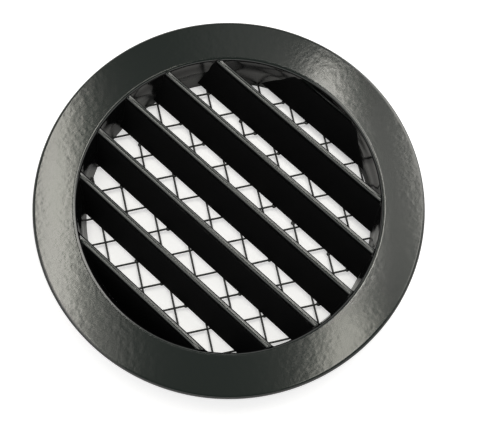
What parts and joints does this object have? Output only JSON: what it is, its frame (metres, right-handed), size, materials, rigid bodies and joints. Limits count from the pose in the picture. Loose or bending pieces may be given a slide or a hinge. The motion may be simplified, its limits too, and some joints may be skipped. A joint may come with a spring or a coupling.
{
  "type": "wall vent grille",
  "caption": "Round wall vent grille: wide flat flange, short duct spigot, inclined louvre slats across the bore and a welded wire mesh behind them, black powder coated.",
  "frame": {"origin": "centre of the plane in which the flange's turned edge meets the wall, on the spigot's axis", "axes": "+Z out of the face that shows in the room, +Y up when the grille is on the wall, +X along the slats"},
  "size_m": [0.188, 0.188, 0.025],
  "materials": {
    "powder_coat": "gloss powder coat with slight orange peel over steel sheet and wire"
  },
  "bodies": {
    "root": {"flanged_collar": "powder_coat", "slat_1": "powder_coat", "slat_2": "powder_coat", "slat_3": "powder_coat", "slat_4": "powder_coat", "slat_5": "powder_coat", "slat_6": "powder_coat", "slat_7": "powder_coat", "wire_mesh": "powder_coat"}
  },
  "joints": []
}
